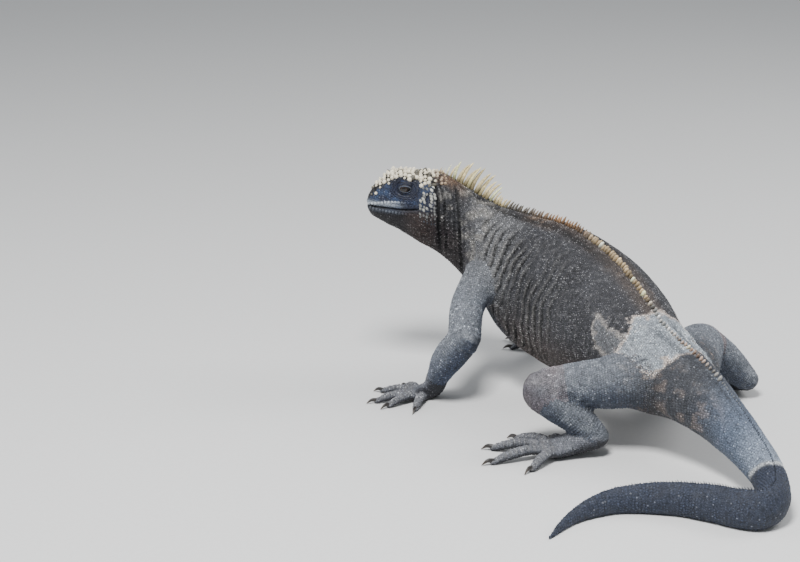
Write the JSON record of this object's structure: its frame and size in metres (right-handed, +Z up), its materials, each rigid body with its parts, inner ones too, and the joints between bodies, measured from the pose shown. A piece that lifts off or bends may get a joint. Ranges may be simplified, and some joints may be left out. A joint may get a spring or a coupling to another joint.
{
  "type": "marine iguana",
  "caption": "Life-size marine iguana standing with raised chest and turned head, spiny crest along the back, tail curled forward on the floor.",
  "frame": {"origin": "middle of the model's own box, on the floor under it", "axes": "+X towards where the trunk faces, +Y towards the animal's left side, +Z up from the floor"},
  "size_m": [0.4666, 0.4108, 0.1939],
  "materials": {
    "head_skin": "matte scaly skin, cream pointed scales on the crown",
    "skin": "matte granular skin, dark grey with pale specks",
    "limb_skin": "matte fine scales in rows, blue grey",
    "crest": "horny spines, cream and tan to dark grey",
    "eye": "wet gloss, dark brown iris and black pupil",
    "claw": "smooth horn, nearly black"
  },
  "bodies": {
    "root": {"head": "head_skin", "eye_left": "eye", "eye_right": "eye", "neck": "skin", "torso_front": "skin", "torso_rear": "skin", "tail_1": "skin", "tail_2": "skin", "tail_3": "skin", "tail_4": "skin", "tail_5": "skin", "tail_6": "skin", "tail_7": "skin", "tail_8": "skin", "left_upper_arm": "limb_skin", "left_forearm": "limb_skin", "left_hand": "limb_skin", "left_hand_claw_1": "claw", "left_hand_claw_2": "claw", "left_hand_claw_3": "claw", "left_hand_claw_4": "claw", "left_hand_claw_5": "claw", "left_thigh": "limb_skin", "left_shank": "limb_skin", "left_foot": "limb_skin", "left_foot_claw_1": "claw", "left_foot_claw_2": "claw", "left_foot_claw_3": "claw", "left_foot_claw_4": "claw", "left_foot_claw_5": "claw", "right_upper_arm": "limb_skin", "right_forearm": "limb_skin", "right_hand": "limb_skin", "right_hand_claw_1": "claw", "right_hand_claw_2": "claw", "right_hand_claw_3": "claw", "right_hand_claw_4": "claw", "right_hand_claw_5": "claw", "right_thigh": "limb_skin", "right_shank": "limb_skin", "right_foot": "limb_skin", "right_foot_claw_1": "claw", "right_foot_claw_2": "claw", "right_foot_claw_3": "claw", "right_foot_claw_4": "claw", "right_foot_claw_5": "claw"}
  },
  "joints": []
}
